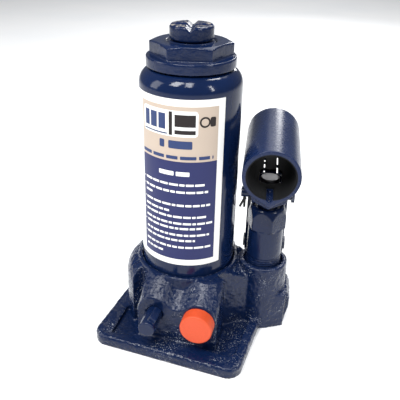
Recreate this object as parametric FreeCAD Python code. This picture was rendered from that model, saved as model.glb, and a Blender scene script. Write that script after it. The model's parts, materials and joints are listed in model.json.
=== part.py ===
import FreeCAD, Part
import math
import os
from FreeCAD import Placement, Rotation, Vector

# Hydraulic bottle jack, 2 t class, lowered.  Millimetres, +Z up.
# Origin: on the floor, under the axis of the oil tank.  -Y is the front, with both valves;
# +X is the side with the pump.

X, Y, Z = Vector(1, 0, 0), Vector(0, 1, 0), Vector(0, 0, 1)
ORIGIN = Vector(0, 0, 0)
FIT = 0.06                   # radial running fit of sliding and turning shafts
SNUG = 0.05                  # radial play of pieces that sit still in a bore
TOP = 182.2                  # closed height

# base casting
PLATE_LEFT, PLATE_RIGHT = -42.6, 49.5
PLATE_FRONT, PLATE_BACK = -52.6, 44.0
PLATE_T = 7.0
PLATE_CORNER_R = 9.0
PLATE_EDGE_R = 2.4
POCKET_FLOOR = 3.8           # floor of the two recesses beside the valve block
CUP_R, CUP_BORE, CUP_TOP = 31.2, 28.55, 44.6
CUP_FLOOR = 32.0
SHOULDER_R = 38.4            # thicker wall round the back of the cup
SHOULDER_DROP = 10.5         # height over which that wall rounds in to the cup's rim
SHOULDER_FROM, SHOULDER_TO = 54.0, 229.0
SEAT_R, SEAT_FLOOR = 18.5, 25.0

# valve block: the two valve axes are level and square to its front face
BLOCK_TURN = 5.0             # the face is turned a little from the plate's edge
FACE_Y = -41.2
VALVE_Z = 24.8
RELEASE_X, SAFETY_X = -9.0, 17.8
BOSS_R = 10.5
VALLEY_Z = 29.3              # bottom of the dip between the two bosses
RIDGE_SLOPE = 0.8            # the bosses run back and up to the cup
RIDGE_RUN = 20.0
VALVE_END = -24.0            # inner end of both valve bores

# tank, cylinder and top nut
TANK_R, TANK_WALL = 28.0, 2.0
TANK_TOP = 161.3
TANK_SHOULDER_R = 9.0
TANK_MOUTH_R = 19.0
GASKET_T = 1.0
CYL_R, CYL_BORE, CYL_TOP = 18.5, 15.0, 160.0
COLLAR_R, COLLAR_TOP = 24.0, 166.9
NUT_AF, NUT_TOP = 38.7, 174.2
NUT_TURN = -73.0
NUT_SKIRT_R, NUT_SKIRT_BOTTOM = 21.5, 146.0
NUT_CHAMFER_R, NUT_CHAMFER_DROP = 18.9, 1.5
RAM_MOUTH_R = 13.5

# ram and extension screw
RAM_R, RAM_TOP = 12.5, 174.2
RAM_BORE_FLOOR = 60.0
PISTON_BOTTOM, PISTON_TOP = 36.0, 46.0
SPIGOT_R, SPIGOT_BOTTOM = 7.0, 28.0
SCREW_R = 9.0
SCREW_FOOT = 114.0
SADDLE_R, SADDLE_BOTTOM = 11.6, 174.7
SADDLE_CHAMFER = 0.9
GROOVE_TURN = -74.0
GROOVE_W, GROOVE_DEPTH = 5.2, 2.4

# label and filler plug on the tank
LABEL_BOTTOM, LABEL_TOP = 52.4, 150.7
LABEL_HALF_ANGLE = 58.8
LABEL_T = 0.15
PLUG_R, PLUG_Z = 4.5, 132.0

# pump: its own frame has x across the handle and -y towards the handle's mouth
PUMP = Vector(45.7, 9.8, 0)
PUMP_TURN = 12.0
PUMP_BOSS_R, PUMP_BOSS_BORE = 14.8, 11.9
PUMP_THREAD_R = 10.6
PUMP_SEAT = 22.0
PUMP_BODY_R = 10.5
PUMP_HEX_AF, PUMP_HEX_BOTTOM, PUMP_HEX_TURN = 20.4, 67.6, -103.4
PUMP_CONE_BOTTOM = 75.5      # the hexagon's corners run out in a steep cone
PUMP_CONE_R, PUMP_TOP_R, PUMP_TOP = 11.8, 9.9, 81.8
PUMP_BORE = 5.7
PLUNGER_R = PUMP_BORE - FIT
PLUNGER_BOTTOM, PLUNGER_TOP = 26.0, 99.6
PIN_Z = 88.8                 # both upper pins
PIN_R = 3.0
PIN_HALF = 16.0
PIN_HEAD_X = 14.8            # outer face of a cross pin's head
RIVET_HALF = 13.4
SPLIT_PIN_X = -13.8          # the split pins stand in this plane
LINK_REACH = 22.0            # plunger pin to rear pin
LUG_REACH = 22.5             # pump axis to the lug's pin
LUG_Z = 42.5
LUG_R = 7.0
LUG_HALF = 9.9
LUG_BACK, FOOT_TOP = 31.0, 24.0      # block under the lug
BAR_INNER, BAR_OUTER = 10.2, 12.4    # the link is a pair of flat bars
OPEN_PIVOT_PLAY = 1.0        # play at the link's upper eye, which takes up the linkage's curve

# handle socket: rolled tube with two ears
TUBE_R, TUBE_BORE = 15.6, 12.8
TUBE_FRONT, TUBE_BACK = -27.4, 31.3
TUBE_Z = 113.2
TUBE_TILT = 3.8              # mouth down
EAR_INNER, EAR_OUTER = 7.4, 9.9
EAR_R = 6.2
KEEL_DROP, KEEL_END = 3.0, -14.0
WEB_FRONT, WEB_BACK = -14.0, -11.8    # wall that joins the ears in front of the plunger
SLOT_FRONT, SLOT_R = -10.4, 6.3         # opening for the plunger's top
TONGUE_HALF, SLIT_W, SLIT_END = 3.3, 0.9, 26.0    # slits behind that opening

# oil ways and small valve pieces
DRILL_R, RISER_R = 1.6, 1.4    # level and upright drillings
DRILL_OVERRUN = 2.5            # level drillings run past the upright ones they feed
PLUG_DEPTH = 2.0             # the ways' outer ends are closed by balls this far inside
INLET_DRILL_Z, OUTLET_DRILL_Z = 7.0, 16.5
BALL_R = 2.6
BALL_POCKET_R, BALL_SEAT_Z = 3.0, 10.0
PORT_BALL_R, PORT_POCKET_R, PORT_SEAT_Z = 3.0, 3.4, 18.5
BALL_LIFT = 0.02             # hair gap between a seated ball and its seat
RELIEF_R = 1.3
UNDER_RIM, UNDER_DEPTH = 7.0, 3.0    # relief cast into the underside
UNDER_PAD_R = 14.0                   # pad left in its middle
THREAD_R, STEM_R = 4.0, 4.8   # release screw
COUNTERBORE_R, COUNTERBORE_DEPTH = 6.4, 5.0
TIP_Y, TIP_L = VALVE_END - 2 * BALL_R - 0.15, 1.6


def cylinder(radius, bottom, top, x=0.0, y=0.0):
    return Part.makeCylinder(radius, top - bottom, Vector(x, y, bottom), Z)


def ring(outer, inner, bottom, top, x=0.0, y=0.0):
    return cylinder(outer, bottom, top, x, y).cut(cylinder(inner, bottom - 1, top + 1, x, y))


def rod(radius, start, end):
    """Round bar between two points."""
    start, end = Vector(*start), Vector(*end)
    return Part.makeCylinder(radius, (end - start).Length, start, end - start)


def box(low, high):
    low, high = Vector(*low), Vector(*high)
    size = high - low
    return Part.makeBox(size.x, size.y, size.z, low)


def face_of(points):
    return Part.Face(Part.makePolygon([Vector(*p) for p in points] + [Vector(*points[0])]))


def prism(points, bottom, top):
    """Upright prism over a plan outline."""
    return face_of([(x, y, bottom) for x, y in points]).extrude(Z * (top - bottom))


def turned(profile, start=0.0, sweep=360.0):
    """Solid of revolution about Z from (radius, height) points."""
    solid = face_of([(r, 0, z) for r, z in profile]).revolve(ORIGIN, Z, sweep)
    solid.rotate(ORIGIN, Z, start)
    return solid


def hexagon(across_flats, bottom, top, turn=0.0):
    """Hexagonal prism with one flat facing the angle `turn`."""
    corner_r = across_flats / math.sqrt(3)
    angles = [math.radians(turn + 30 + 60 * i) for i in range(6)]
    return prism([(corner_r * math.cos(a), corner_r * math.sin(a)) for a in angles], bottom, top)


def union(shapes):
    first, *rest = shapes
    return first.fuse(rest).removeSplitter()


def in_block(shape):
    """Moves a shape from the valve block's frame to the jack's."""
    shape = shape.copy()
    shape.rotate(ORIGIN, Z, BLOCK_TURN)
    return shape


def in_pump(shape):
    """Moves a shape from the pump's frame to the jack's."""
    shape = shape.copy()
    shape.rotate(ORIGIN, Z, PUMP_TURN)
    shape.translate(PUMP)
    return shape


def rounded_plan(left, right, front, back, radius):
    """Plan face of a rectangle with four rounded corners."""
    def bow(cx, cy, start):
        angles = [math.radians(start + step) for step in (0, 45, 90)]
        a, b, c = [Vector(cx + radius * math.cos(t), cy + radius * math.sin(t), 0) for t in angles]
        return Part.Arc(a, b, c).toShape()
    bows = [bow(right - radius, front + radius, 270), bow(right - radius, back - radius, 0),
            bow(left + radius, back - radius, 90), bow(left + radius, front + radius, 180)]
    edges = []
    for this, following in zip(bows, bows[1:] + bows[:1]):
        edges += [this, Part.makeLine(this.Vertexes[-1].Point, following.Vertexes[0].Point)]
    return Part.Face(Part.Wire(edges))


# ---- base casting ----

def base_plate():
    plate = rounded_plan(PLATE_LEFT, PLATE_RIGHT, PLATE_FRONT, PLATE_BACK,
                         PLATE_CORNER_R).extrude(Z * PLATE_T)
    top_edges = [e for e in plate.Edges if e.BoundBox.ZMin > PLATE_T - 0.1]
    plate = plate.makeFillet(PLATE_EDGE_R, top_edges)
    left = prism([(-31.5, -47.0), (-35.0, 2.0), (-15.0, 2.0), (-15.0, -42.0), (-19.0, -45.0)],
                 POCKET_FLOOR, PLATE_T + 1)
    right = prism([(24.0, -41.0), (41.0, -41.5), (43.5, -38.0), (43.5, -2.0), (24.0, -2.0)],
                  POCKET_FLOOR, PLATE_T + 1)
    return plate.cut([left, right])


def boss_outline():
    """Front outline of the valve block: two round bosses and the dip between them."""
    middle = (RELEASE_X + SAFETY_X) / 2
    half = (SAFETY_X - RELEASE_X) / 2
    # the dip's arc is tangent to both bosses: solve its centre height from the valley height
    rise = VALLEY_Z - VALVE_Z
    dip_r = (half ** 2 + rise ** 2 - BOSS_R ** 2) / (2 * (BOSS_R - rise))
    dip_z = VALLEY_Z + dip_r
    share = BOSS_R / (BOSS_R + dip_r)

    def at(x, z):
        return Vector(x, FACE_Y, z)

    def tangent(x):
        return at(x + (middle - x) * share, VALVE_Z + (dip_z - VALVE_Z) * share)

    def crown(x):
        return at(x, VALVE_Z + BOSS_R)

    outer_left, outer_right = at(RELEASE_X - BOSS_R, VALVE_Z), at(SAFETY_X + BOSS_R, VALVE_Z)
    low_left, low_right = at(RELEASE_X - BOSS_R, 0), at(SAFETY_X + BOSS_R, 0)
    edges = [Part.makeLine(low_left, outer_left),
             Part.Arc(outer_left, crown(RELEASE_X), tangent(RELEASE_X)).toShape(),
             Part.Arc(tangent(RELEASE_X), at(middle, VALLEY_Z), tangent(SAFETY_X)).toShape(),
             Part.Arc(tangent(SAFETY_X), crown(SAFETY_X), outer_right).toShape(),
             Part.makeLine(outer_right, low_right),
             Part.makeLine(low_right, low_left)]
    return Part.Face(Part.Wire(edges))


def valve_block():
    outline = boss_outline()
    sloped = outline.extrude(Vector(0, RIDGE_RUN, RIDGE_RUN * RIDGE_SLOPE))
    square = outline.extrude(Vector(0, RIDGE_RUN, 0))
    keep = box((-60, -60, 0), (60, 60, CUP_TOP - 0.6))
    return in_block(union([sloped, square]).common(keep))


def cup():
    wall = cylinder(CUP_R, 0, CUP_TOP)
    rim = [e for e in wall.Edges if e.BoundBox.ZMin > CUP_TOP - 0.1]
    wall = wall.makeFillet(1.0, rim)
    steps = 8
    bulge = SHOULDER_R - CUP_BORE
    corner = [(CUP_BORE + bulge * math.sin(math.pi / 2 * i / steps),
               CUP_TOP - 1.2 - SHOULDER_DROP * (1 - math.cos(math.pi / 2 * i / steps)))
              for i in range(steps + 1)]
    shoulder = turned([(20.0, 0)] + [(20.0, CUP_TOP - 1.2)] + corner + [(SHOULDER_R, 0)],
                      SHOULDER_FROM, SHOULDER_TO - SHOULDER_FROM)
    return [wall, shoulder]


def pump_boss():
    """Pump socket of the casting, the web to the cup and the lug behind it."""
    boss = cylinder(PUMP_BOSS_R, 0, CUP_TOP)
    rim = [e for e in boss.Edges if e.BoundBox.ZMin > CUP_TOP - 0.1]
    boss = boss.makeFillet(1.0, rim)
    foot = prism([(-12.5, 0), (3.0, -14.5), (15.8, -9.5), (15.4, 20), (12.5, LUG_BACK), (-12.5, LUG_BACK)],
                 0, FOOT_TOP)
    port_block = face_of([(8, -6, 0), (16.2, -6, 0), (18.6, -6, 13), (18.6, -6, 20), (16.5, -6, 24.5),
                          (8, -6, 24.5)]).extrude(Y * 20)
    lug_plan = box((-LUG_HALF, LUG_REACH - LUG_R, 20), (LUG_HALF, LUG_REACH + LUG_R, LUG_Z))
    lug_top = rod(LUG_R, (-LUG_HALF, LUG_REACH, LUG_Z), (LUG_HALF, LUG_REACH, LUG_Z))
    rib = box((-LUG_HALF, 8, 20), (LUG_HALF, LUG_REACH, 33))
    hole = rod(PIN_R + SNUG, (-20, LUG_REACH, LUG_Z), (20, LUG_REACH, LUG_Z))
    lug = union([foot, port_block, lug_plan, lug_top, rib]).cut(hole)
    return [in_pump(boss), in_pump(lug)]


def side_web():
    """Web between the cup and the pump's boss; its top falls towards the pump."""
    plan = prism([(20, -22), (29.5, -12.5), (40.5, -3.8), (50, 0), (44, 16), (24, 19)], 0, CUP_TOP)
    above = face_of([(CUP_R - 3, -60, CUP_TOP - 1.0), (CUP_R + 8, -60, 37.0), (60, -60, 36.5),
                     (60, -60, 60), (20, -60, 60), (20, -60, CUP_TOP - 1.0)]).extrude(Y * 120)
    return plan.cut(above)


def oil_ways():
    """Drilled ways: tank to pump, pump to cylinder, and cylinder to both valves."""
    direction = Vector(math.cos(math.radians(PUMP_TURN)), math.sin(math.radians(PUMP_TURN)), 0)
    outside = PUMP + direction * 30
    inner = PUMP - direction * 24.0
    inlet_end = inner - direction * DRILL_OVERRUN + Z * INLET_DRILL_Z
    inlet = [rod(DRILL_R, tuple(inlet_end), tuple(outside + Z * INLET_DRILL_Z)),
             cylinder(RISER_R, INLET_DRILL_Z, CUP_FLOOR + 1, inner.x, inner.y),
             cylinder(RISER_R, INLET_DRILL_Z, BALL_SEAT_Z + 1, PUMP.x, PUMP.y),
             cylinder(BALL_POCKET_R, BALL_SEAT_Z, PUMP_SEAT + 1, PUMP.x, PUMP.y)]
    outlet_end = Vector(-DRILL_OVERRUN, 0, OUTLET_DRILL_Z)
    outlet = [rod(DRILL_R, tuple(outlet_end), tuple(outside + Z * OUTLET_DRILL_Z)),
              cylinder(RISER_R, OUTLET_DRILL_Z, PORT_SEAT_Z + 1),
              cylinder(PORT_POCKET_R, PORT_SEAT_Z, SEAT_FLOOR + 1)]
    seat = PUMP + direction * (PUMP_BOSS_R - PLUG_DEPTH - BALL_R - 0.1)
    plugs = [rod(BALL_R, tuple(seat + Z * z), tuple(outside + Z * z))
             for z in (INLET_DRILL_Z, OUTLET_DRILL_Z)]
    reliefs = [in_block(rod(RELIEF_R, (x, VALVE_END - 0.5, VALVE_Z), (0, -2.5, 22.0)))
               for x in (RELEASE_X, SAFETY_X)]
    drain = [in_block(cylinder(1.5, VALVE_Z, CUP_FLOOR + 1, RELEASE_X, VALVE_END + 2.2))]
    return inlet + outlet + plugs + reliefs + drain


def valve_bores():
    bores = []
    for x, mouth_r in ((RELEASE_X, STEM_R + 0.2), (SAFETY_X, COUNTERBORE_R)):
        bores.append(rod(THREAD_R + SNUG, (x, VALVE_END, VALVE_Z), (x, -60, VALVE_Z)))
        bores.append(rod(mouth_r, (x, FACE_Y + COUNTERBORE_DEPTH, VALVE_Z), (x, -60, VALVE_Z)))
    return [in_block(bore) for bore in bores]


def base_casting():
    body = union([base_plate(), valve_block(), side_web()] + cup() + pump_boss())
    relief = rounded_plan(PLATE_LEFT + UNDER_RIM, PLATE_RIGHT - UNDER_RIM,
                          PLATE_FRONT + UNDER_RIM, PLATE_BACK - UNDER_RIM,
                          PLATE_CORNER_R).extrude(Z * UNDER_DEPTH)
    pads = [cylinder(PUMP_BOSS_R, -1, UNDER_DEPTH + 1, PUMP.x, PUMP.y),
            cylinder(UNDER_PAD_R, -1, UNDER_DEPTH + 1)]
    body = body.cut(relief.cut(pads))
    bores = [cylinder(CUP_BORE, CUP_FLOOR, 80), cylinder(SEAT_R + SNUG, SEAT_FLOOR, 80),
             cylinder(PUMP_THREAD_R + SNUG, PUMP_SEAT, 80, PUMP.x, PUMP.y),
             cylinder(PUMP_BOSS_BORE, CUP_TOP - 3.5, 80, PUMP.x, PUMP.y)]
    for bore in bores + valve_bores() + oil_ways():
        body = body.cut(bore)
    return body


# ---- tank, cylinder, nut ----

def reservoir_tube():
    def crown(outer_r, bend_r, top):
        centre_r, centre_z = outer_r - bend_r, top - bend_r
        return [(centre_r + bend_r * math.cos(t), centre_z + bend_r * math.sin(t))
                for t in [math.pi / 2 * i / 10 for i in range(11)]]
    bottom = CUP_FLOOR + GASKET_T
    outside = crown(TANK_R, TANK_SHOULDER_R, TANK_TOP)
    inside = crown(TANK_R - TANK_WALL, TANK_SHOULDER_R - TANK_WALL, TANK_TOP - TANK_WALL)
    inner_mouth = NUT_SKIRT_R + 0.2
    outside = [p for p in outside if p[0] > inner_mouth]
    inside = [p for p in inside if p[0] > inner_mouth]
    lip_out = TANK_TOP - TANK_SHOULDER_R + math.sqrt(
        TANK_SHOULDER_R ** 2 - (inner_mouth - TANK_R + TANK_SHOULDER_R) ** 2)
    bend_in = TANK_SHOULDER_R - TANK_WALL
    lip_in = TANK_TOP - TANK_SHOULDER_R + math.sqrt(
        bend_in ** 2 - (inner_mouth - TANK_R + TANK_SHOULDER_R) ** 2)
    profile = [(TANK_R - TANK_WALL, bottom), (TANK_R, bottom)] + outside
    profile += [(inner_mouth, lip_out), (inner_mouth, lip_in)] + inside[::-1]
    return turned(profile).cut(rod(PLUG_R, (0, 20, PLUG_Z), (0, 40, PLUG_Z)))


def top_nut():
    body = hexagon(NUT_AF, COLLAR_TOP, NUT_TOP, NUT_TURN)
    cone = turned([(0, COLLAR_TOP), (COLLAR_R, COLLAR_TOP), (COLLAR_R, NUT_TOP - NUT_CHAMFER_DROP),
                   (NUT_CHAMFER_R, NUT_TOP), (0, NUT_TOP)])
    collar = cylinder(COLLAR_R, TANK_TOP, COLLAR_TOP)
    rim = [e for e in collar.Edges if e.BoundBox.ZMin > COLLAR_TOP - 0.1]
    collar = collar.makeFillet(0.7, rim)
    skirt = cylinder(NUT_SKIRT_R, NUT_SKIRT_BOTTOM, TANK_TOP)
    bores = [cylinder(CYL_R + SNUG, NUT_SKIRT_BOTTOM - 1, CYL_TOP),
             cylinder(RAM_R + FIT, CYL_TOP - 1, NUT_TOP + 1),
             cylinder(RAM_R + 2.2, 167.5, 170.5),
             turned([(0, NUT_TOP - 1.4), (RAM_R + FIT, NUT_TOP - 1.4), (RAM_MOUTH_R, NUT_TOP),
                     (RAM_MOUTH_R, NUT_TOP + 1), (0, NUT_TOP + 1)])]
    return union([body.common(cone), collar, skirt]).cut(bores)


def tank_label():
    return turned([(TANK_R + 0.01, LABEL_BOTTOM), (TANK_R + 0.01 + LABEL_T, LABEL_BOTTOM),
                   (TANK_R + 0.01 + LABEL_T, LABEL_TOP), (TANK_R + 0.01, LABEL_TOP)],
                  -90 - LABEL_HALF_ANGLE, 2 * LABEL_HALF_ANGLE)


def filler_plug():
    """Rubber plug pushed into the back of the tank, just clear of its round wall."""
    stem = rod(PLUG_R - SNUG, (0, 24.5, PLUG_Z), (0, 29.0, PLUG_Z))
    head = rod(PLUG_R + 2.5, (0, 28.2, PLUG_Z), (0, 30.6, PLUG_Z))
    rim = [e for e in head.Edges if e.BoundBox.YMin > 30.5]
    return union([stem, head.makeFillet(0.8, rim)])


# ---- ram and extension screw ----

def main_ram():
    profile = [(0, SPIGOT_BOTTOM), (SPIGOT_R, SPIGOT_BOTTOM), (SPIGOT_R, PISTON_BOTTOM),
               (CYL_BORE - FIT, PISTON_BOTTOM), (CYL_BORE - FIT, PISTON_TOP - 0.8),
               (CYL_BORE - FIT - 0.8, PISTON_TOP), (RAM_R, PISTON_TOP), (RAM_R, RAM_TOP - 0.6),
               (RAM_R - 0.6, RAM_TOP), (SCREW_R + FIT + 0.6, RAM_TOP),
               (SCREW_R + FIT, RAM_TOP - 0.6), (SCREW_R + FIT, RAM_BORE_FLOOR),
               (0, RAM_BORE_FLOOR)]
    groove = ring(SPIGOT_R + 1, SPIGOT_R - 0.8, 28.6, 29.8)
    return turned(profile).cut(groove)


def extension_screw():
    shaft = turned([(0, SCREW_FOOT - 4), (4.0, SCREW_FOOT - 4), (4.0, SCREW_FOOT),
                    (SCREW_R - 1, SCREW_FOOT), (SCREW_R, SCREW_FOOT + 1),
                    (SCREW_R, SADDLE_BOTTOM), (SADDLE_R - 0.5, SADDLE_BOTTOM),
                    (SADDLE_R, SADDLE_BOTTOM + 0.5), (SADDLE_R, TOP - SADDLE_CHAMFER),
                    (SADDLE_R - SADDLE_CHAMFER, TOP), (0, TOP)])
    vee = face_of([(0, -GROOVE_W / 2 - 0.5, TOP + 0.46), (0, 0, TOP - GROOVE_DEPTH),
                   (0, GROOVE_W / 2 + 0.5, TOP + 0.46)]).extrude(X * 40)
    vee.translate(X * -20)
    grooves = []
    for turn in (GROOVE_TURN, GROOVE_TURN + 90):
        groove = vee.copy()
        groove.rotate(ORIGIN, Z, turn)
        grooves.append(groove)
    return shaft.cut(grooves)


# ---- pump ----

def pump_cylinder():
    """Round barrel; above it a hexagon whose corners run out in a cone."""
    barrel = turned([(0, PUMP_SEAT + GASKET_T), (PUMP_THREAD_R, PUMP_SEAT + GASKET_T),
                     (PUMP_THREAD_R, CUP_TOP + 1.6), (PUMP_BODY_R, CUP_TOP + 2.4),
                     (PUMP_BODY_R, PUMP_HEX_BOTTOM), (0, PUMP_HEX_BOTTOM)])
    cone = turned([(0, PUMP_HEX_BOTTOM), (PUMP_CONE_R, PUMP_HEX_BOTTOM),
                   (PUMP_CONE_R, PUMP_CONE_BOTTOM), (PUMP_TOP_R, PUMP_TOP - 1.0),
                   (PUMP_TOP_R - 1.0, PUMP_TOP), (0, PUMP_TOP)])
    head = hexagon(PUMP_HEX_AF, PUMP_HEX_BOTTOM, PUMP_TOP + 1, PUMP_HEX_TURN).common(cone)
    bore = cylinder(PUMP_BORE, 0, PUMP_TOP + 1)
    packing_groove = cylinder(PUMP_BORE + 1.8, 75.0, 78.0)
    return union([barrel, head]).cut([bore, packing_groove])


def pump_plunger():
    body = turned([(0, PLUNGER_BOTTOM), (PLUNGER_R - 0.6, PLUNGER_BOTTOM),
                   (PLUNGER_R, PLUNGER_BOTTOM + 0.6), (PLUNGER_R, PLUNGER_TOP - 0.7),
                   (PLUNGER_R - 0.7, PLUNGER_TOP), (0, PLUNGER_TOP)])
    groove = ring(PLUNGER_R + 1, PLUNGER_R - 1.6, 29.0, 31.4)
    hole = rod(PIN_R + SNUG, (-20, 0, PIN_Z), (20, 0, PIN_Z))
    return body.cut([groove, hole])


def cross_pin(y, z):
    """Headed pin along x; its split pin goes through the other end."""
    neck_x = PIN_HEAD_X - 1.8
    shank = rod(PIN_R, (-PIN_HALF, y, z), (neck_x, y, z))
    head = rod(PIN_R + 1.4, (neck_x, y, z), (PIN_HEAD_X, y, z))
    hole = rod(0.9, (SPLIT_PIN_X, y, z - 5), (SPLIT_PIN_X, y, z + 5))
    return union([shank, head]).cut(hole)


def lug_rivet():
    """Headed both ends: holds the link's bars to the lug."""
    shank = rod(PIN_R, (-RIVET_HALF, LUG_REACH, LUG_Z), (RIVET_HALF, LUG_REACH, LUG_Z))
    heads = [rod(PIN_R + 1.2, (side * (RIVET_HALF - 0.9), LUG_REACH, LUG_Z),
                 (side * RIVET_HALF, LUG_REACH, LUG_Z)) for side in (-1, 1)]
    return in_pump(union([shank] + heads))


def split_pin(y, z):
    """Wire pin through a cross pin: an eye on top and two spread legs."""
    x, wire_r = SPLIT_PIN_X, 0.7
    eye = Part.makeTorus(1.8, wire_r, Vector(x, y, z + PIN_R + 2.6), X)
    shank = rod(wire_r + 0.12, (x, y, z + PIN_R + 0.7), (x, y, z - PIN_R - 0.8))
    knuckle = Part.makeSphere(1.1, Vector(x, y, z - PIN_R - 1.3))
    legs = [rod(wire_r, (x, y, z - PIN_R - 0.9), (x + lean, y, z - PIN_R - 7.0))
            for lean in (-2.6, 0.0)]
    return union([eye, shank, knuckle] + legs)


def socket_tube():
    """Rolled tube along y, mouth at -y, before it is tilted."""
    start, end = (0, TUBE_FRONT, TUBE_Z), (0, TUBE_BACK, TUBE_Z)
    keel_top = TUBE_Z - TUBE_R * 0.72
    keel = face_of([(-TUBE_R * 0.69, TUBE_FRONT, keel_top),
                    (0, TUBE_FRONT, TUBE_Z - TUBE_R - KEEL_DROP),
                    (TUBE_R * 0.69, TUBE_FRONT, keel_top)]).extrude(Y * (KEEL_END - TUBE_FRONT))
    notch = face_of([(-3.2, TUBE_FRONT - 1, TUBE_Z - TUBE_BORE + 1),
                     (0, TUBE_FRONT - 1, TUBE_Z - TUBE_R),
                     (3.2, TUBE_FRONT - 1, TUBE_Z - TUBE_BORE + 1)]).extrude(Y * 14)
    tube = union([rod(TUBE_R, start, end), keel])
    bore = rod(TUBE_BORE, (0, TUBE_FRONT - 5, TUBE_Z), (0, TUBE_BACK + 5, TUBE_Z))
    edge_notch = rod(2.6, (-20, TUBE_BACK, TUBE_Z + 4), (-9, TUBE_BACK, TUBE_Z + 4))
    low, high = TUBE_Z - 30, TUBE_Z - 9
    openings = [box((-SLOT_R, SLOT_FRONT, low), (SLOT_R, 0, high)), cylinder(SLOT_R, low, high)]
    for x in (-TONGUE_HALF - SLIT_W, TONGUE_HALF):
        openings.append(box((x, SLOT_R - 1.5, low), (x + SLIT_W, SLIT_END, high)))
    tube = tube.cut([bore, notch, edge_notch] + openings)
    tube.rotate(Vector(0, 0, TUBE_Z), X, TUBE_TILT)
    return tube


def socket_ear(side):
    """Flat ear that hangs from the tube and carries both pins."""
    x = side * EAR_INNER if side > 0 else side * EAR_OUTER
    lean = math.radians(TUBE_TILT)
    tube_low = TUBE_Z - TUBE_R + 3.4
    outline = [(WEB_FRONT, tube_low + WEB_FRONT * math.tan(lean)), (WEB_FRONT, PIN_Z + 2.0),
               (WEB_BACK, PIN_Z + 1.0), (-EAR_R, PIN_Z),
               (LINK_REACH + EAR_R, PIN_Z), (TUBE_BACK - 0.6, PIN_Z + 6.0),
               (TUBE_BACK - 0.9, tube_low + TUBE_BACK * math.tan(lean))]
    plate = face_of([(x, y, z) for y, z in outline]).extrude(X * (EAR_OUTER - EAR_INNER))
    rounds = [rod(EAR_R, (x, y, PIN_Z), (x + EAR_OUTER - EAR_INNER, y, PIN_Z))
              for y in (0.0, LINK_REACH)]
    belly = box((x, 0, PIN_Z - EAR_R), (x + EAR_OUTER - EAR_INNER, LINK_REACH, PIN_Z))
    return union([plate, belly] + rounds)


def front_web():
    """Wall between the ears with a pointed lower edge, in front of the plunger."""
    top = TUBE_Z - TUBE_R + 2.5
    outline = [(-EAR_OUTER, top), (-EAR_OUTER, PIN_Z + 1.5), (0, PIN_Z - 3.5), (EAR_OUTER, PIN_Z + 1.5),
               (EAR_OUTER, top)]
    return face_of([(x, WEB_FRONT, z) for x, z in outline]).extrude(Y * (WEB_BACK - WEB_FRONT))


def handle_socket():
    bore = rod(TUBE_BORE, (0, TUBE_FRONT - 5, TUBE_Z), (0, TUBE_BACK + 5, TUBE_Z))
    bore.rotate(Vector(0, 0, TUBE_Z), X, TUBE_TILT)
    holes = [rod(PIN_R + SNUG, (-20, y, PIN_Z), (20, y, PIN_Z)) for y in (0.0, LINK_REACH)]
    ears = union([socket_tube(), front_web(), socket_ear(-1), socket_ear(1)])
    return in_pump(ears.cut([bore] + holes))


def pump_link():
    """Pair of flat bars from the lug to the socket's rear pin, outside both."""
    low, high = (LUG_REACH, LUG_Z), (LINK_REACH, PIN_Z)
    eye_r, half = 6.0, 4.2
    bars = []
    for x in (-BAR_OUTER, BAR_INNER):
        end = x + BAR_OUTER - BAR_INNER
        eyes = [rod(eye_r, (x, y, z), (end, y, z)) for y, z in (low, high)]
        bar = face_of([(x, low[0] - half, low[1]), (x, low[0] + half, low[1]),
                       (x, high[0] + half, high[1]), (x, high[0] - half, high[1])])
        holes = [rod(PIN_R + FIT, (-20, low[0], low[1]), (20, low[0], low[1])),
                 rod(PIN_R + OPEN_PIVOT_PLAY, (-20, high[0], high[1]), (20, high[0], high[1]))]
        bars.append(union(eyes + [bar.extrude(X * (end - x))]).cut(holes))
    return in_pump(Part.makeCompound(bars))


# ---- valves ----

def release_screw():
    """Release valve screw with two flat lugs for the slotted end of the handle."""
    x = RELEASE_X
    stem = rod(THREAD_R, (x, TIP_Y - TIP_L, VALVE_Z), (x, FACE_Y + 1, VALVE_Z))
    tip = Part.makeCone(1.2, THREAD_R, TIP_L, Vector(x, TIP_Y, VALVE_Z), -Y)
    head = rod(STEM_R, (x, FACE_Y + 1, VALVE_Z), (x, FACE_Y - 15, VALVE_Z))
    head = head.makeChamfer(0.5, [e for e in head.Edges if e.BoundBox.YMax < FACE_Y - 14])
    lug = box((-7.8, FACE_Y - 12.5, -2.2), (7.8, FACE_Y - 2.5, 2.2))
    lug = lug.makeFillet(0.5, lug.Edges)
    lug.rotate(ORIGIN, Y, -62)
    lug.translate(Vector(x, 0, VALVE_Z))
    groove = rod(8, (x, -37.4, VALVE_Z), (x, -35.0, VALVE_Z)).cut(
        rod(2.6, (x, -38, VALVE_Z), (x, -34, VALVE_Z)))
    return in_block(union([stem, tip, head, lug]).cut(groove))


def release_oring():
    wire = ring_along_y(THREAD_R - 0.02, 2.65, RELEASE_X, -37.2, -35.2)
    return in_block(wire)


def ring_along_y(outer, inner, x, y0, y1):
    return rod(outer, (x, y0, VALVE_Z), (x, y1, VALVE_Z)).cut(
        rod(inner, (x, y0 - 1, VALVE_Z), (x, y1 + 1, VALVE_Z)))


def valve_ball(x):
    return in_block(Part.makeSphere(BALL_R, Vector(x, VALVE_END - BALL_R - BALL_LIFT, VALVE_Z)))


def seated_ball(radius, seat_z):
    """Ball resting on the edge of an oil way that comes up from below."""
    rise = math.sqrt(radius ** 2 - RISER_R ** 2)
    return Part.makeSphere(radius, Vector(0, 0, seat_z + rise + BALL_LIFT))


def safety_screw():
    body = rod(THREAD_R, (SAFETY_X, -36.1, VALVE_Z), (SAFETY_X, -33.1, VALVE_Z))
    slot = box((SAFETY_X - 5, -37, VALVE_Z - 0.6), (SAFETY_X + 5, -35.0, VALVE_Z + 0.6))
    return in_block(body.cut(slot))


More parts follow.
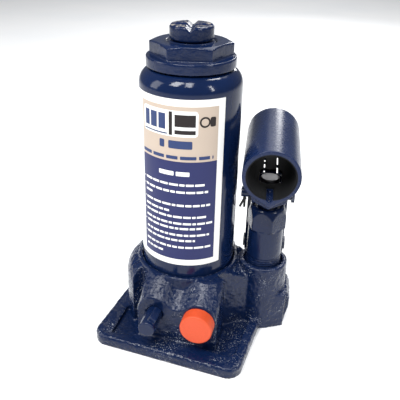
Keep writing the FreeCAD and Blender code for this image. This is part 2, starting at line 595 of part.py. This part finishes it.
def safety_spring():
    """Short coil between the adjusting screw and the safety ball."""
    coil_r, wire_r = 2.4, 0.5
    start, end = -32.5, -29.9
    helix = Part.makeHelix(1.3, end - start, coil_r)
    profile = Part.Wire(Part.makeCircle(wire_r, Vector(coil_r, 0, 0), Y))
    coil = Part.Wire(helix).makePipeShell([profile], True, True)
    coil.rotate(ORIGIN, X, -90)
    coil.translate(Vector(SAFETY_X, start, VALVE_Z))
    return in_block(coil)


def safety_cap():
    """Soft plug pushed over the safety valve's mouth."""
    disc = rod(9.4, (SAFETY_X, FACE_Y, VALVE_Z), (SAFETY_X, FACE_Y - 8.2, VALVE_Z))
    rim = [e for e in disc.Edges if e.BoundBox.YMax < FACE_Y - 8]
    disc = disc.makeFillet(1.0, rim)
    spigot = rod(COUNTERBORE_R - SNUG, (SAFETY_X, FACE_Y, VALVE_Z),
                 (SAFETY_X, FACE_Y + COUNTERBORE_DEPTH - 0.6, VALVE_Z))
    return in_block(union([disc, spigot]))


def passage_plugs():
    direction = Vector(math.cos(math.radians(PUMP_TURN)), math.sin(math.radians(PUMP_TURN)), 0)
    seat = PUMP + direction * (PUMP_BOSS_R - PLUG_DEPTH)
    solids = [Part.makeSphere(BALL_R - 0.02, seat + Z * z) for z in (INLET_DRILL_Z, OUTLET_DRILL_Z)]
    return Part.makeCompound(solids)


# ---- assembly ----

def build():
    pump_ring_z = PUMP_SEAT + GASKET_T
    return {
        "base_casting": base_casting(),
        "tank_gasket": ring(TANK_R + 0.3, TANK_R - TANK_WALL - 0.4, CUP_FLOOR,
                            CUP_FLOOR + GASKET_T),
        "reservoir_tube": reservoir_tube(),
        "cylinder_gasket": ring(SEAT_R, CYL_BORE + 0.2, SEAT_FLOOR, SEAT_FLOOR + GASKET_T),
        "main_cylinder": ring(CYL_R, CYL_BORE, SEAT_FLOOR + GASKET_T, CYL_TOP - 0.2),
        "top_nut": top_nut(),
        "ram_wiper": ring(RAM_R + 2.15, RAM_R + 0.05, 167.55, 170.45),
        "tank_label": tank_label(),
        "filler_plug": filler_plug(),
        "main_ram": main_ram(),
        "piston_seal": ring(CYL_BORE - 0.05, SPIGOT_R + 0.02, 31.6, PISTON_BOTTOM),
        "piston_washer": ring(CYL_BORE - 1.2, SPIGOT_R + 0.02, 29.9, 31.6),
        "piston_clip": ring(SPIGOT_R + 2.2, SPIGOT_R - 0.75, 28.65, 29.75),
        "screw_stop_ring": ring(SCREW_R - 0.4, 4.0 + FIT, SCREW_FOOT - 2.8, SCREW_FOOT - 0.1),
        "extension_screw": extension_screw(),
        "pump_gasket": in_pump(ring(PUMP_THREAD_R - 0.1, PUMP_BORE + 0.2, PUMP_SEAT,
                                    pump_ring_z)),
        "pump_cylinder": in_pump(pump_cylinder()),
        "pump_packing": in_pump(ring(PUMP_BORE + 1.75, PUMP_BORE - 0.02, 75.05, 77.95)),
        "pump_plunger": in_pump(pump_plunger()),
        "plunger_seal": in_pump(ring(PLUNGER_R + 0.01, PLUNGER_R - 1.55, 29.1, 31.3)),
        "inlet_ball": in_pump(seated_ball(BALL_R, BALL_SEAT_Z)),
        "outlet_ball": seated_ball(PORT_BALL_R, PORT_SEAT_Z),
        "handle_socket": handle_socket(),
        "plunger_pin": in_pump(cross_pin(0.0, PIN_Z)),
        "rear_pin": in_pump(cross_pin(LINK_REACH, PIN_Z)),
        "lug_rivet": lug_rivet(),
        "plunger_split_pin": in_pump(split_pin(0.0, PIN_Z)),
        "rear_split_pin": in_pump(split_pin(LINK_REACH, PIN_Z)),
        "pump_link": pump_link(),
        "release_screw": release_screw(),
        "release_oring": release_oring(),
        "release_ball": valve_ball(RELEASE_X),
        "safety_ball": valve_ball(SAFETY_X),
        "safety_spring": safety_spring(),
        "safety_screw": safety_screw(),
        "safety_cap": safety_cap(),
        "passage_plugs": passage_plugs(),
    }


os.makedirs("parts", exist_ok=True)
for name, shape in build().items():
    shape.exportStep(os.path.join("parts", name + ".step"))
    print("%-18s %8.0f mm3  solids %d  valid %s"
          % (name, shape.Volume, len(shape.Solids), shape.isValid()))
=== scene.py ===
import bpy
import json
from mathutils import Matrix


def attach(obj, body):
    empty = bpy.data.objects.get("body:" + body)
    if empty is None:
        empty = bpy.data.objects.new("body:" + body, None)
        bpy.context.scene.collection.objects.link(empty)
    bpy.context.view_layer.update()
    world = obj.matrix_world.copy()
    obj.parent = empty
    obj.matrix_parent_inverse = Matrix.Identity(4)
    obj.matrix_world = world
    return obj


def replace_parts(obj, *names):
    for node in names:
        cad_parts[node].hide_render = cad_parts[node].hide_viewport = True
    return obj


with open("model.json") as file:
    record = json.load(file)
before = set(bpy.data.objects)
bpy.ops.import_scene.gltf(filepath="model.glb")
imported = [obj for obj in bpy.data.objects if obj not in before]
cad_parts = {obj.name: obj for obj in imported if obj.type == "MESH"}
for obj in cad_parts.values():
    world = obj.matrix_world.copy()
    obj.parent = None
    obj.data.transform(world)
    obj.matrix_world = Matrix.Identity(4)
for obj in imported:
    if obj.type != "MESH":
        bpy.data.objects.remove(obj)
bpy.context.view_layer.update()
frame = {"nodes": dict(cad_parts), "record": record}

import json
import math
import random

import bpy
from mathutils import Matrix, Vector, noise

MM = 0.001
NODES = frame["nodes"]
BODY_OF = {node: body for body, nodes in frame["record"]["behaviour"]["bodies"].items()
           for node in nodes}
SLOT_OF = {row["node"]: row["material_slot"] for row in frame["record"]["subparts"]}


# ---- camera, stage and light ----

def make_camera():
    """Camera above and to the right of the front, looking down on the jack."""
    data = bpy.data.cameras.new("view_camera")
    data.lens = 48.93
    data.clip_start, data.clip_end = 0.01, 20.0
    camera = bpy.data.objects.new("view_camera", data)
    heading, pitch, roll = math.radians(18.717), math.radians(27.94), math.radians(1.495)
    turn = (Matrix.Rotation(heading, 4, "Z") @ Matrix.Rotation(math.pi / 2 - pitch, 4, "X")
            @ Matrix.Rotation(roll, 4, "Z"))
    camera.matrix_world = Matrix.Translation((0.09828, -0.27004, 0.23276)) @ turn
    bpy.context.scene.collection.objects.link(camera)
    bpy.context.scene.camera = camera


def make_light(name, place, aim, size, power):
    data = bpy.data.lights.new(name, "AREA")
    data.shape = "RECTANGLE"
    data.size, data.size_y = size
    data.energy = power
    light = bpy.data.objects.new(name, data)
    light.location = place
    light.rotation_mode = "QUATERNION"
    light.rotation_quaternion = (Vector(aim) - Vector(place)).to_track_quat("-Z", "Y")
    bpy.context.scene.collection.objects.link(light)


def make_stage():
    mesh = bpy.data.meshes.new("floor")
    half = 6.0
    mesh.from_pydata([(-half, -half, 0), (half, -half, 0), (half, half, 0), (-half, half, 0)],
                     [], [(0, 1, 2, 3)])
    floor = bpy.data.objects.new("floor", mesh)
    bpy.context.scene.collection.objects.link(floor)
    floor.location.z = -0.0001
    floor.data.materials.append(floor_material())
    world = bpy.data.worlds.new("soft_room")
    world.use_nodes = True
    world.node_tree.nodes["Background"].inputs["Color"].default_value = (0.93, 0.96, 1.0, 1.0)
    world.node_tree.nodes["Background"].inputs["Strength"].default_value = 0.24
    bpy.context.scene.world = world
    bpy.context.scene.view_settings.view_transform = "Standard"
    for light in LIGHTS:
        make_light(*light)


# name, place, point aimed at, width and height, watts
LIGHTS = (
    ("left_softbox", (-1.0, -0.45, 0.55), (0, 0, 0.08), (0.4, 0.8), 5.0),
    ("back_top", (0.30, 0.45, 1.15), (0, 0, 0.1), (0.35, 0.35), 7.5),
    ("back_strip", (-0.02, 1.10, 0.48), (0, 0, 0.1), (0.16, 0.30), 1.6),
    ("floor_back", (-0.10, 1.20, 1.10), (-0.25, 1.10, 0), (1.6, 0.7), 7.0),
    ("right_strip", (0.75, -0.30, 0.55), (0, 0, 0.1), (0.06, 0.5), 2.5),
    ("window_left", (-0.24, -0.52, 0.92), (0, 0, 0.15), (0.26, 0.48), 8.0),
    ("window_right", (0.13, -0.50, 0.92), (0, 0, 0.15), (0.19, 0.48), 4.6),
)


# ---- node helpers ----

class Shader:
    """A material's node tree with short calls for the nodes used here."""

    def __init__(self, name):
        self.material = bpy.data.materials.new(name)
        self.material.use_nodes = True
        self.tree = self.material.node_tree
        self.surface = self.tree.nodes["Principled BSDF"]
        self.place = self.tree.nodes.new("ShaderNodeTexCoord").outputs["Object"]

    def link(self, source, target):
        self.tree.links.new(source, target)

    def noise(self, scale, detail=3.0, rough=0.5, place=None):
        node = self.tree.nodes.new("ShaderNodeTexNoise")
        node.inputs["Scale"].default_value = scale
        node.inputs["Detail"].default_value = detail
        node.inputs["Roughness"].default_value = rough
        self.link(place or self.place, node.inputs["Vector"])
        return node.outputs["Fac"]

    def ramp(self, value, stops):
        node = self.tree.nodes.new("ShaderNodeValToRGB")
        while len(node.color_ramp.elements) < len(stops):
            node.color_ramp.elements.new(0.5)
        for element, (at, colour) in zip(node.color_ramp.elements, stops):
            element.position = at
            element.color = (*colour, 1.0) if len(colour) == 3 else colour
        self.link(value, node.inputs["Fac"])
        return node.outputs["Color"]

    def scale(self, value, low, high, start=0.0, end=1.0):
        node = self.tree.nodes.new("ShaderNodeMapRange")
        for socket, number in (("From Min", start), ("From Max", end), ("To Min", low), ("To Max", high)):
            node.inputs[socket].default_value = number
        self.link(value, node.inputs["Value"])
        return node.outputs["Result"]

    def mix(self, share, first, second):
        node = self.tree.nodes.new("ShaderNodeMix")
        node.data_type = "RGBA"
        self.link(share, node.inputs["Factor"])
        for socket, colour in ((node.inputs[6], first), (node.inputs[7], second)):
            if isinstance(colour, tuple):
                socket.default_value = (*colour, 1.0)
            else:
                self.link(colour, socket)
        return node.outputs[2]

    def bump(self, height, strength, distance, under=None):
        node = self.tree.nodes.new("ShaderNodeBump")
        node.inputs["Strength"].default_value = strength
        node.inputs["Distance"].default_value = distance
        self.link(height, node.inputs["Height"])
        if under is not None:
            self.link(under, node.inputs["Normal"])
        return node.outputs["Normal"]

    def times(self, first, second):
        node = self.tree.nodes.new("ShaderNodeMath")
        node.operation = "MULTIPLY"
        self.link(first, node.inputs[0])
        self.link(second, node.inputs[1])
        return node.outputs["Value"]

    def axis(self, letter):
        node = self.tree.nodes.new("ShaderNodeSeparateXYZ")
        self.link(self.place, node.inputs["Vector"])
        return node.outputs[letter]

    def edges(self, start, end):
        """1 on convex edges, 0 on flat ground."""
        bend = self.tree.nodes.new("ShaderNodeNewGeometry").outputs["Pointiness"]
        return self.scale(bend, 0.0, 1.0, start, end)

    def distance_from_line(self, point, direction):
        """Distance of the surface from a straight line, in metres."""
        value = self.place
        for operation, other in (("SUBTRACT", point), ("CROSS_PRODUCT", direction), ("LENGTH", None)):
            node = self.tree.nodes.new("ShaderNodeVectorMath")
            node.operation = operation
            self.link(value, node.inputs[0])
            if other is not None:
                node.inputs[1].default_value = other
            value = node.outputs["Value" if operation == "LENGTH" else "Vector"]
        return value

    def set(self, **sockets):
        for name, value in sockets.items():
            socket = self.surface.inputs[name.replace("_", " ")]
            if isinstance(value, bpy.types.NodeSocket):
                self.link(value, socket)
            else:
                socket.default_value = (*value, 1.0) if isinstance(value, tuple) else value
        return self


def floor_material():
    shader = Shader("pale_floor")
    tone = shader.ramp(shader.noise(6.0), [(0.3, (0.86, 0.87, 0.88)), (0.7, (0.9, 0.9, 0.9))])
    return shader.set(Base_Color=tone, Roughness=0.75).material


NAVY = (0.003, 0.010, 0.041)
BARE = (0.30, 0.27, 0.24)                # where the paint is worn through
FLECK_PAINTED_HIGHLIGHT = (0.42, 0.45, 0.50)               # painted highlight: small pale glints in the casting's skin
EDGE_PAINTED_HIGHLIGHT = (0.34, 0.37, 0.41)          # painted highlight: a pale line, in pieces, along a sharp edge
BORE_PAINTED_SHADE = (0.0015, 0.002, 0.003)           # painted shade inside the handle socket's bore
HANDLE_BORE = next(row for row in frame["record"]["mounts"] if row["name"] == "handle_bore")
BORE_SHADE_REACH = 0.0134                       # painted shade reaches a little outside the handle's bore


def paint_material(name, colour, peel=0.12, grit=0.0, roughness=0.14, painted_highlights=0.0, worn_above=None,
                   bore=None):
    """Gloss enamel with orange peel, and where asked for grit, painted highlights as pale specks and edge
    lines, and wear.

    `bore` is a point, a direction and a radius: inside that radius the colour is a painted shade and the
    surface is dull.
    """
    shader = Shader(name)
    tone = shader.mix(shader.noise(60.0), tuple(c * 0.8 for c in colour),
                      tuple(c * 1.3 for c in colour))
    normal = shader.bump(shader.noise(900.0, 2.0), peel, 0.0002)
    if grit:
        normal = shader.bump(shader.noise(260.0, 3.0), grit * 0.8, 0.003, normal)
        normal = shader.bump(shader.noise(700.0, 3.0, 0.6), grit * 0.8, 0.0012, normal)
    if painted_highlights:
        # painted highlight: pale specks scattered in patches, standing in for sparkle on the glossy skin
        highlight_patch = shader.scale(shader.noise(70.0, 2.0), 0.0, 1.0, 0.52, 0.66)
        grain = shader.scale(shader.noise(1100.0, 3.0, 0.7), 0.0, painted_highlights, 0.58, 0.66)
        tone = shader.mix(shader.times(highlight_patch, grain), tone, FLECK_PAINTED_HIGHLIGHT)
        # painted highlight: pale lines in pieces on convex edges, standing in for thin lit edges
        broken_highlight = shader.scale(shader.noise(330.0, 3.0, 0.6), 0.0, painted_highlights, 0.46, 0.6)
        tone = shader.mix(shader.times(shader.edges(0.53, 0.57), broken_highlight), tone, EDGE_PAINTED_HIGHLIGHT)
    if worn_above is not None:
        height = shader.scale(shader.axis("Z"), 0.0, 1.0, worn_above, worn_above + 0.0005)
        rubbed = shader.scale(shader.noise(520.0, 4.0, 0.65), 0.0, 1.0, 0.52, 0.6)
        tone = shader.mix(shader.times(height, rubbed), tone, BARE)
    gloss = shader.scale(shader.noise(240.0), roughness * 0.7, roughness * 1.5)
    # painted shade: inside the handle's bore the colour is darkened and the surface made rough
    if bore is not None:
        point, direction, radius = bore
        inside = shader.scale(shader.distance_from_line(point, direction), 1.0, 0.0,
                              radius, radius + 0.0004)
        tone = shader.mix(inside, tone, BORE_PAINTED_SHADE)
        gloss = shader.mix(inside, gloss, (0.9, 0.9, 0.9))
    shader.set(Base_Color=tone, Roughness=gloss, Normal=normal, Specular_IOR_Level=0.3)
    return shader.material


def steel_material(name, colour, roughness=0.3, painted_above=None):
    """Ground or turned steel; `painted_above` covers its upper end with the jack's paint."""
    shader = Shader(name)
    grain = shader.noise(1200.0, 4.0)
    tone = shader.mix(grain, tuple(c * 0.8 for c in colour), colour)
    metal = 1.0
    if painted_above is not None:
        paint = shader.scale(shader.axis("Z"), 0.0, 1.0, painted_above, painted_above + 0.0002)
        tone = shader.mix(paint, tone, NAVY)
        metal = shader.scale(paint, 1.0, 0.0)
    shader.set(Base_Color=tone, Metallic=metal,
               Roughness=shader.scale(grain, roughness * 0.7, roughness * 1.4))
    return shader.set(Normal=shader.bump(grain, 0.1, 0.0001)).material


def soft_material(name, colour, roughness=0.6, mottle=0.15, specular=0.5):
    """Rubber, plastic or print: colour with a fine grain, darker by up to `mottle`."""
    shader = Shader(name)
    grain = shader.noise(800.0, 4.0)
    tone = shader.mix(grain, tuple(c * (1 - mottle) for c in colour), colour)
    return shader.set(Base_Color=tone, Roughness=roughness, Specular_IOR_Level=specular).material


MATERIALS = {
    "cast_paint": paint_material("cast_paint", NAVY, grit=0.35, roughness=0.1, painted_highlights=0.8),
    "tank_paint": paint_material("tank_paint", NAVY, roughness=0.1),
    "nut_paint": paint_material("nut_paint", NAVY, grit=0.12),
    "saddle_paint": paint_material("saddle_paint", NAVY, grit=0.15, worn_above=0.1816),
    "pump_paint": paint_material("pump_paint", NAVY, grit=0.12, painted_highlights=0.2),
    "socket_paint": paint_material("socket_paint", (0.005, 0.013, 0.050), roughness=0.24,
                                   bore=(HANDLE_BORE["pos_m"], HANDLE_BORE["axis"], BORE_SHADE_REACH)),
    "pin_black": soft_material("pin_black", (0.012, 0.012, 0.014), 0.45),
    "ram_steel": steel_material("ram_steel", (0.6, 0.61, 0.63), 0.15, 0.1725),
    "turned_steel": steel_material("turned_steel", (0.12, 0.12, 0.125), 0.4),
    "ball_steel": steel_material("ball_steel", (0.6, 0.6, 0.62), 0.12),
    "spring_steel": steel_material("spring_steel", (0.3, 0.3, 0.32), 0.3),
    "copper": steel_material("copper", (0.75, 0.36, 0.2), 0.3),
    "seal_rubber": soft_material("seal_rubber", (0.02, 0.02, 0.02)),
    "plug_rubber": soft_material("plug_rubber", (0.015, 0.015, 0.016)),
    "label_film": soft_material("label_film", (0.84, 0.84, 0.82), 0.3, 0.03, 0.2),
    "cap_orange": soft_material("cap_orange", (0.66, 0.072, 0.015), 0.55),
}


LABEL_COLOURS = {
    "beige": (0.50, 0.41, 0.335),
    "blue": (0.023, 0.028, 0.105),
    "white": (0.84, 0.84, 0.82),
    "navy": (0.03, 0.05, 0.14),
    "black": (0.02, 0.015, 0.015),
}
PRINT = {name: soft_material("print_" + name, colour, 0.3, 0.03, 0.2)
         for name, colour in LABEL_COLOURS.items()}


# ---- meshes ----

def show(name, mesh, body, material):
    """Adds a mesh that rides a body."""
    piece = bpy.data.objects.new(name, mesh)
    bpy.context.scene.collection.objects.link(piece)
    mesh.materials.clear()
    mesh.materials.append(material)
    mesh.shade_smooth()
    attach(piece, body)
    return piece


def stand_in(name, mesh, node):
    """Shows a mesh in place of a CAD node, on that node's body."""
    piece = show(name, mesh, BODY_OF[node], MATERIALS[SLOT_OF[node]])
    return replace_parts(piece, node)


def softened_mesh(name, node, voxel, passes):
    """Mesh of a node's shape with evenly spaced points and softly rounded edges."""
    holder = bpy.data.objects.new(name + "_work", NODES[node].data.copy())
    bpy.context.scene.collection.objects.link(holder)
    remesh = holder.modifiers.new("remesh", "REMESH")
    remesh.mode, remesh.voxel_size, remesh.adaptivity = "VOXEL", voxel * MM, 0.0
    smooth = holder.modifiers.new("smooth", "SMOOTH")
    smooth.factor, smooth.iterations = 0.5, passes
    graph = bpy.context.evaluated_depsgraph_get()
    mesh = bpy.data.meshes.new_from_object(holder.evaluated_get(graph))
    bpy.data.objects.remove(holder)
    mesh.name = name
    return mesh


def softened(name, node, voxel, passes, reshape=None):
    """Softened stand-in for a node; `reshape` moves each of its points."""
    mesh = softened_mesh(name, node, voxel, passes)
    if reshape:
        normals = [vertex.normal.copy() for vertex in mesh.vertices]
        for vertex, normal in zip(mesh.vertices, normals):
            vertex.co = reshape(vertex.co, normal)
        mesh.update()
    return stand_in(name, mesh, node)


def cast_skin(point, normal):
    """Sand-cast skin: shallow lumps and a fine pitting, none on machined bores or the sole."""
    in_cup = math.hypot(point.x, point.y) < CUP_BORE and point.z > CUP_FLOOR
    if in_cup or point.z < SOLE or normal.z < -0.5:
        return point
    lumps = noise.noise(point * 150.0) * 0.00026
    pitting = noise.noise(point * 520.0) * 0.00020
    return point + normal * (lumps + pitting - 0.00004)


def tank_skin(point, normal):
    """Puts the tank's outer points on its exact cylinder and shoulder."""
    radius = math.hypot(point.x, point.y)
    if radius < TANK_MOUTH or normal.xy.dot(point.xy) + normal.z * 0.01 < 0.0:
        return point
    over = point.z - SHOULDER_Z
    if over <= 0.0:
        return point if radius < TANK_SKIN else Vector((point.x / radius * TANK_R,
                                                        point.y / radius * TANK_R, point.z))
    out = radius - (TANK_R - SHOULDER_BEND)
    reach = math.hypot(out, over)
    if out <= 0.0 or reach < SHOULDER_BEND - 0.0007:
        return point
    new_radius = TANK_R - SHOULDER_BEND + out / reach * SHOULDER_BEND
    return Vector((point.x / radius * new_radius, point.y / radius * new_radius,
                   SHOULDER_Z + over / reach * SHOULDER_BEND))


def thread(centre, bottom, top, crest, pitch, depth):
    """Reshaper that cuts a screw thread into the round part of a shaft."""
    def cut(point, normal):
        arm = point.xy - Vector(centre)
        radius = arm.length
        if not bottom < point.z < top or radius < crest - 0.0006 or abs(normal.z) > 0.8:
            return point
        turn = math.atan2(arm.y, arm.x) / (2 * math.pi)
        phase = (point.z / pitch - turn) % 1.0
        fade = min(1.0, (point.z - bottom) / pitch, (top - point.z) / pitch)
        sink = depth * fade * (1 - abs(2 * phase - 1))
        arm *= (radius - sink) / radius
        return Vector((centre[0] + arm.x, centre[1] + arm.y, point.z))
    return cut


# ---- label ----

class Printing:
    """Flat shapes wrapped on the tank: angles in degrees from the front, heights in mm."""

    def __init__(self, layer):
        self.radius = (LABEL_R + LAYER * layer) * MM
        self.points, self.faces = [], []

    def at(self, angle, height):
        turn = math.radians(angle - 90.0)
        self.points.append((self.radius * math.cos(turn), self.radius * math.sin(turn), height * MM))
        return len(self.points) - 1

    def bar(self, left, right, low, high):
        """Upright rectangle."""
        columns = max(1, math.ceil((right - left) / COLUMN))
        rows = [[self.at(left + (right - left) * i / columns, z) for i in range(columns + 1)]
                for z in (low, high)]
        for i in range(columns):
            self.faces.append((rows[0][i], rows[0][i + 1], rows[1][i + 1], rows[1][i]))

    def rounded(self, left, right, low, high, corner):
        """Rectangle with rounded corners, as a fan of slices."""
        across = corner / ARC
        stops = [left, left + across * 0.3, left + across]
        stops += [left + across + (right - left - 2 * across) * i / 12 for i in range(1, 12)]
        stops += [right - across, right - across * 0.3, right]
        pairs = []
        for angle in stops:
            into = min(angle - left, right - angle) / across
            inset = corner * (1 - math.sqrt(max(0.0, 1 - (1 - min(into, 1.0)) ** 2)))
            pairs.append((self.at(angle, low + inset), self.at(angle, high - inset)))
        for (a, b), (c, d) in zip(pairs, pairs[1:]):
            self.faces.append((a, c, d, b))

    def ring(self, angle, height, radius, width):
        rims = []
        for i in range(33):
            turn = 2 * math.pi * i / 32
            rims.append([self.at(angle + (radius - cut) / ARC * math.cos(turn),
                                 height + (radius - cut) * math.sin(turn)) for cut in (0.0, width)])
        for (a, b), (c, d) in zip(rims, rims[1:]):
            self.faces.append((a, c, d, b))

    def words(self, left, right, middle, tall, lengths, gap, seed):
        """Row of plain blocks with slightly rounded corners, as long as words would be."""
        dice = random.Random(seed)
        angle = left
        while angle < right - 1.0:
            end = min(right, angle + dice.uniform(*lengths) / ARC)
            self.rounded(angle, end, middle - tall / 2, middle + tall / 2, tall * 0.15)
            angle = end + gap / ARC

    def finish(self, name, colour):
        mesh = bpy.data.meshes.new(name)
        mesh.from_pydata(self.points, [], self.faces)
        mesh.update()
        return show(name, mesh, "jack_body", PRINT[colour])


LABEL_R = 28.17                          # mm, just outside the CAD label
LAYER = 0.025                            # mm between one layer of print and the next
COLUMN = 2.5                             # widest flat strip of a curved shape, degrees
ARC = math.radians(1.0) * LABEL_R        # length of one degree on the label
PANEL = (-42.0, 50.6)                    # both panels' left and right edges, degrees
SPLIT = 117.2                            # height where the blue panel meets the beige one
TEXT_LINES = (                           # left, right, height of each line of word blocks
    (-36.6, 37.1, 103.7), (-37.0, 41.0, 99.4), (-37.4, -25.4, 96.0), (-36.4, 43.9, 91.3),
    (-38.0, -3.0, 87.4), (-37.0, 39.5, 84.0), (-37.5, 49.0, 79.9), (-35.8, 33.9, 76.7),
    (-37.0, 43.9, 72.4), (-36.5, 27.3, 68.9), (-37.9, 48.4, 64.4), (-37.3, -11.3, 60.6))
BULLETS = (0, 1, 3, 5, 7, 9)             # lines that start with a bullet


def make_label():
    beige = Printing(1)
    beige.bar(*PANEL, SPLIT, 147.0)
    beige.finish("label_upper_panel", "beige")
    blue = Printing(1)
    blue.bar(*PANEL, 56.2, SPLIT)
    blue.finish("label_lower_panel", "blue")

    plate = Printing(2)
    plate.rounded(-38.5, 28.2, 131.0, 144.8, 1.6)
    plate.words(-15.4, 19.8, 110.2, 2.5, (7.5, 9.5), 1.2, 5)
    for row, (left, right, middle) in enumerate(TEXT_LINES):
        plate.words(left, right, middle, 1.3, (1.8, 5.6), 0.7, 20 + row)
        if row in BULLETS:
            plate.rounded(-40.4, -38.6, middle - 0.45, middle + 0.45, 0.4)
    plate.finish("label_white_print", "white")

    navy = Printing(3)
    navy.bar(-35.5, -28.5, 134.4, 142.8)
    navy.bar(-26.3, -17.7, 134.4, 142.8)
    navy.bar(-15.5, -7.0, 134.4, 142.8)
    navy.bar(-37.0, -5.0, 131.9, 132.6)
    navy.rounded(-14.3, -8.3, 124.4, 128.8, 0.6)
    navy.rounded(-3.6, 22.4, 124.4, 128.8, 0.6)
    navy.words(-41.0, 46.0, 119.4, 1.9, (6.0, 9.0), 1.3, 9)
    navy.finish("label_navy_print", "navy")

    black = Printing(3)
    black.bar(-3.0, 0.8, 131.7, 144.2)
    black.bar(3.4, 25.6, 132.4, 134.6)
    black.bar(3.4, 25.6, 136.4, 142.8)
    black.ring(35.4, 139.0, 2.9, 0.95)
    black.rounded(41.0, 47.4, 136.4, 141.6, 0.8)
    black.finish("label_black_print", "black")


TANK_R, SHOULDER_Z, SHOULDER_BEND = 0.028, 0.1523, 0.009
TANK_MOUTH, TANK_SKIN = 0.0201, 0.0274   # points inside these radii are not on the tank's outside
CUP_BORE, CUP_FLOOR, SOLE = 0.0288, 0.0315, 0.0004    # machined faces start within these
PUMP_AXIS = (0.0457, 0.0098)

make_camera()
make_stage()
for node_name, node_object in NODES.items():
    node_object.data.materials.clear()
    node_object.data.materials.append(MATERIALS[SLOT_OF[node_name]])

softened("cast_base", "base_casting", 0.6, 2, cast_skin)
softened("tank", "reservoir_tube", 0.8, 3, tank_skin)
softened("tank_nut", "top_nut", 0.4, 3)
softened("screw_and_saddle", "extension_screw", 0.35, 3,
         thread((0.0, 0.0), 0.1145, 0.1742, 0.009, 0.003, 0.0011))
softened("pump_barrel", "pump_cylinder", 0.35, 3,
         thread(PUMP_AXIS, 0.0400, 0.0492, 0.0105, 0.0015, 0.0006))
softened("socket", "handle_socket", 0.4, 3)
softened("link_bars", "pump_link", 0.35, 3)
softened("release_stem", "release_screw", 0.3, 2)
softened("cap", "safety_cap", 0.3, 3)
make_label()
